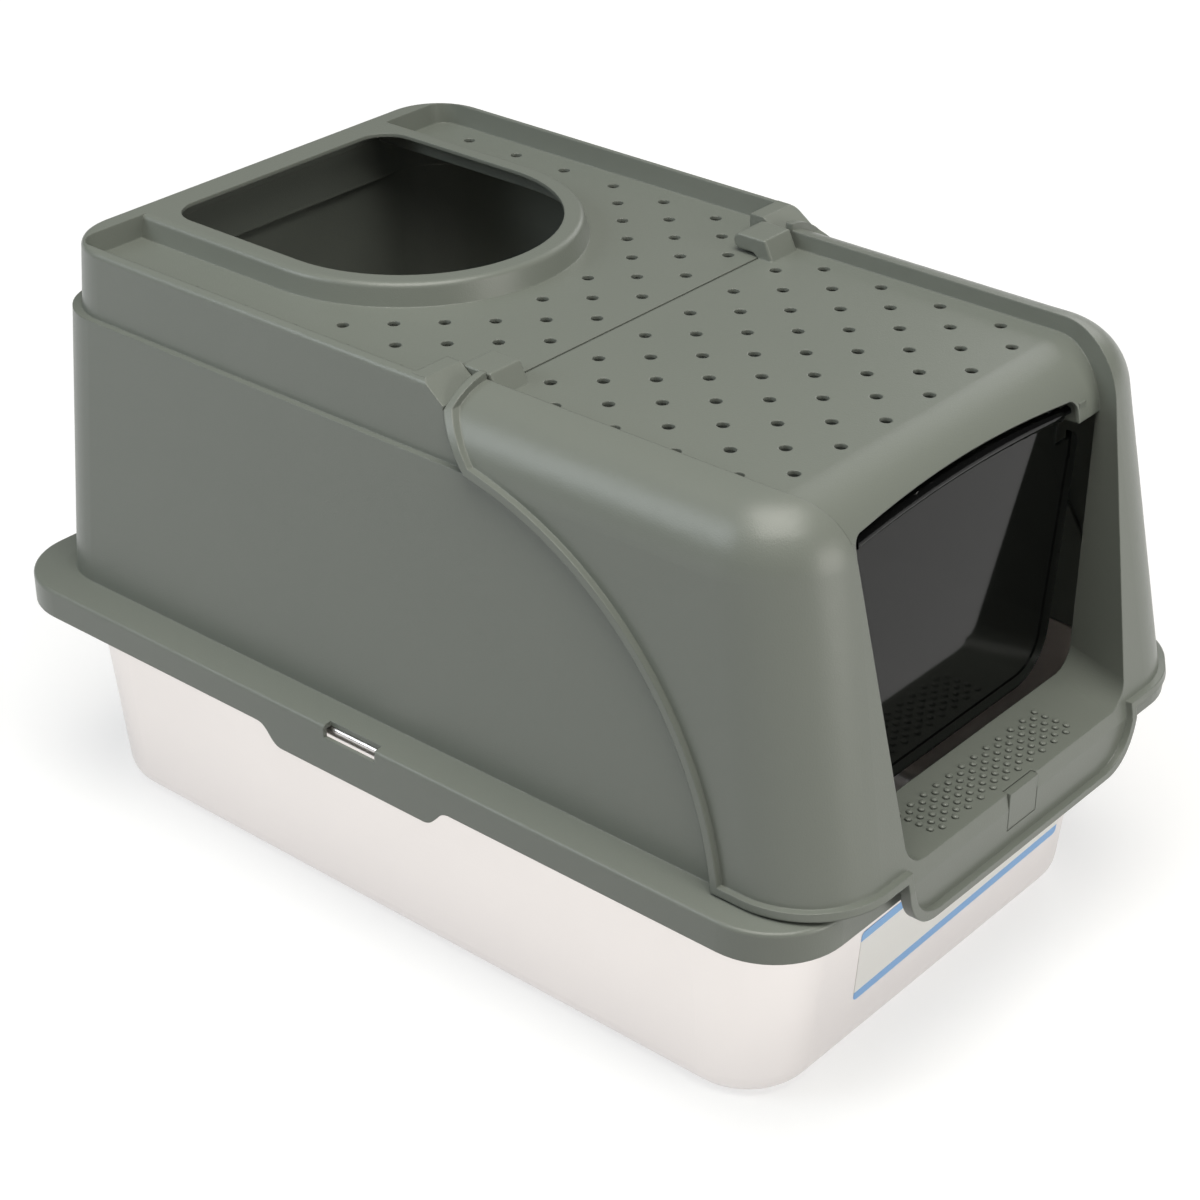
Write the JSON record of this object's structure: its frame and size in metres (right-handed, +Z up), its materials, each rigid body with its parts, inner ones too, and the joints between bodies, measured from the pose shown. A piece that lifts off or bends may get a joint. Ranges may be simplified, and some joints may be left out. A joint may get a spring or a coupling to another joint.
{
  "type": "hooded litter box",
  "caption": "Covered cat litter box: deep steel pan under a ventilated plastic hood with a round-fronted top entry and a flip-up front visor that carries a tinted swing door.",
  "frame": {"origin": "middle of the pan's flat underside, on the floor", "axes": "+Z up, the doorway faces -Y, X runs across the width"},
  "size_m": [0.396, 0.623, 0.3709],
  "materials": {
    "pan_steel": "satin",
    "hood_plastic": "fine matte",
    "flap_plastic": "clear, smoke tinted"
  },
  "bodies": {
    "pan": {"litter_pan": "pan_steel"},
    "hood": {"rear_hood": "hood_plastic"},
    "visor": {"front_visor": "hood_plastic"},
    "flap": {"door_flap": "flap_plastic"},
    "latch": {"front_latch": "hood_plastic"}
  },
  "joints": [
    {"name": "hood_lift", "type": "slide", "parent": "pan", "child": "hood", "axis": [0, 0, 1], "range_m": [0, 0.15]},
    {"name": "visor_flip", "type": "hinge", "parent": "hood", "child": "visor", "pos_m": [0, -0.033, 0.364], "axis": [-1, 0, 0], "range_deg": [0, 120]},
    {"name": "flap_swing", "type": "hinge", "parent": "visor", "child": "flap", "pos_m": [0, -0.262, 0.328], "axis": [1, 0, 0], "range_deg": [-75, 75]},
    {"name": "latch_pull", "type": "hinge", "parent": "visor", "child": "latch", "pos_m": [0, -0.31575, 0.137], "axis": [1, 0, 0], "range_deg": [0, 12], "stiffness_Nm_per_rad": 0.2}
  ]
}
